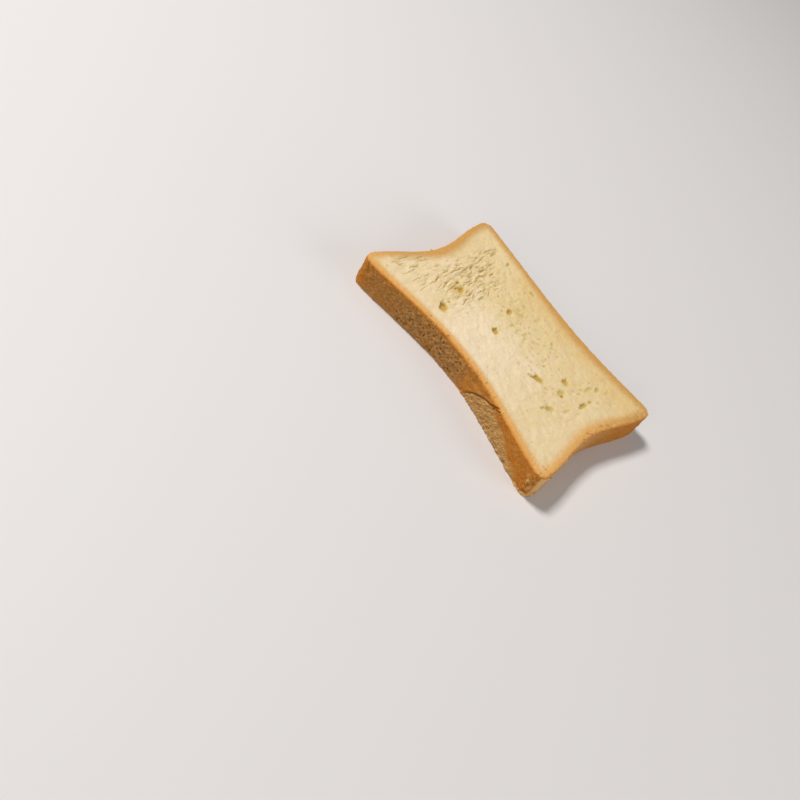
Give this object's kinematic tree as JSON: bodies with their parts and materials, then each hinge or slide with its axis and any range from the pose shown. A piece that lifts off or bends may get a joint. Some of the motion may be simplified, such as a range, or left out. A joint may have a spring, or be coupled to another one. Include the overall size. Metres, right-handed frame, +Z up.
{
  "type": "slice of toast",
  "caption": "Thick slice of toasted white pan bread with caved-in sides, a browned crust round the edge and a pitted, torn crumb; lies flat.",
  "frame": {"origin": "middle of the underside, the cut face that the slice rests on", "axes": "+Z up out of the shown cut face, +Y along the slice towards the end whose layers are torn most, +X towards the shallower of its two long sides"},
  "size_m": [0.0794, 0.1208, 0.0146],
  "materials": {
    "bread": "matt, porous bread: pale cream crumb inside a golden brown crust"
  },
  "bodies": {
    "root": {"toast_slice": "bread"}
  },
  "joints": []
}
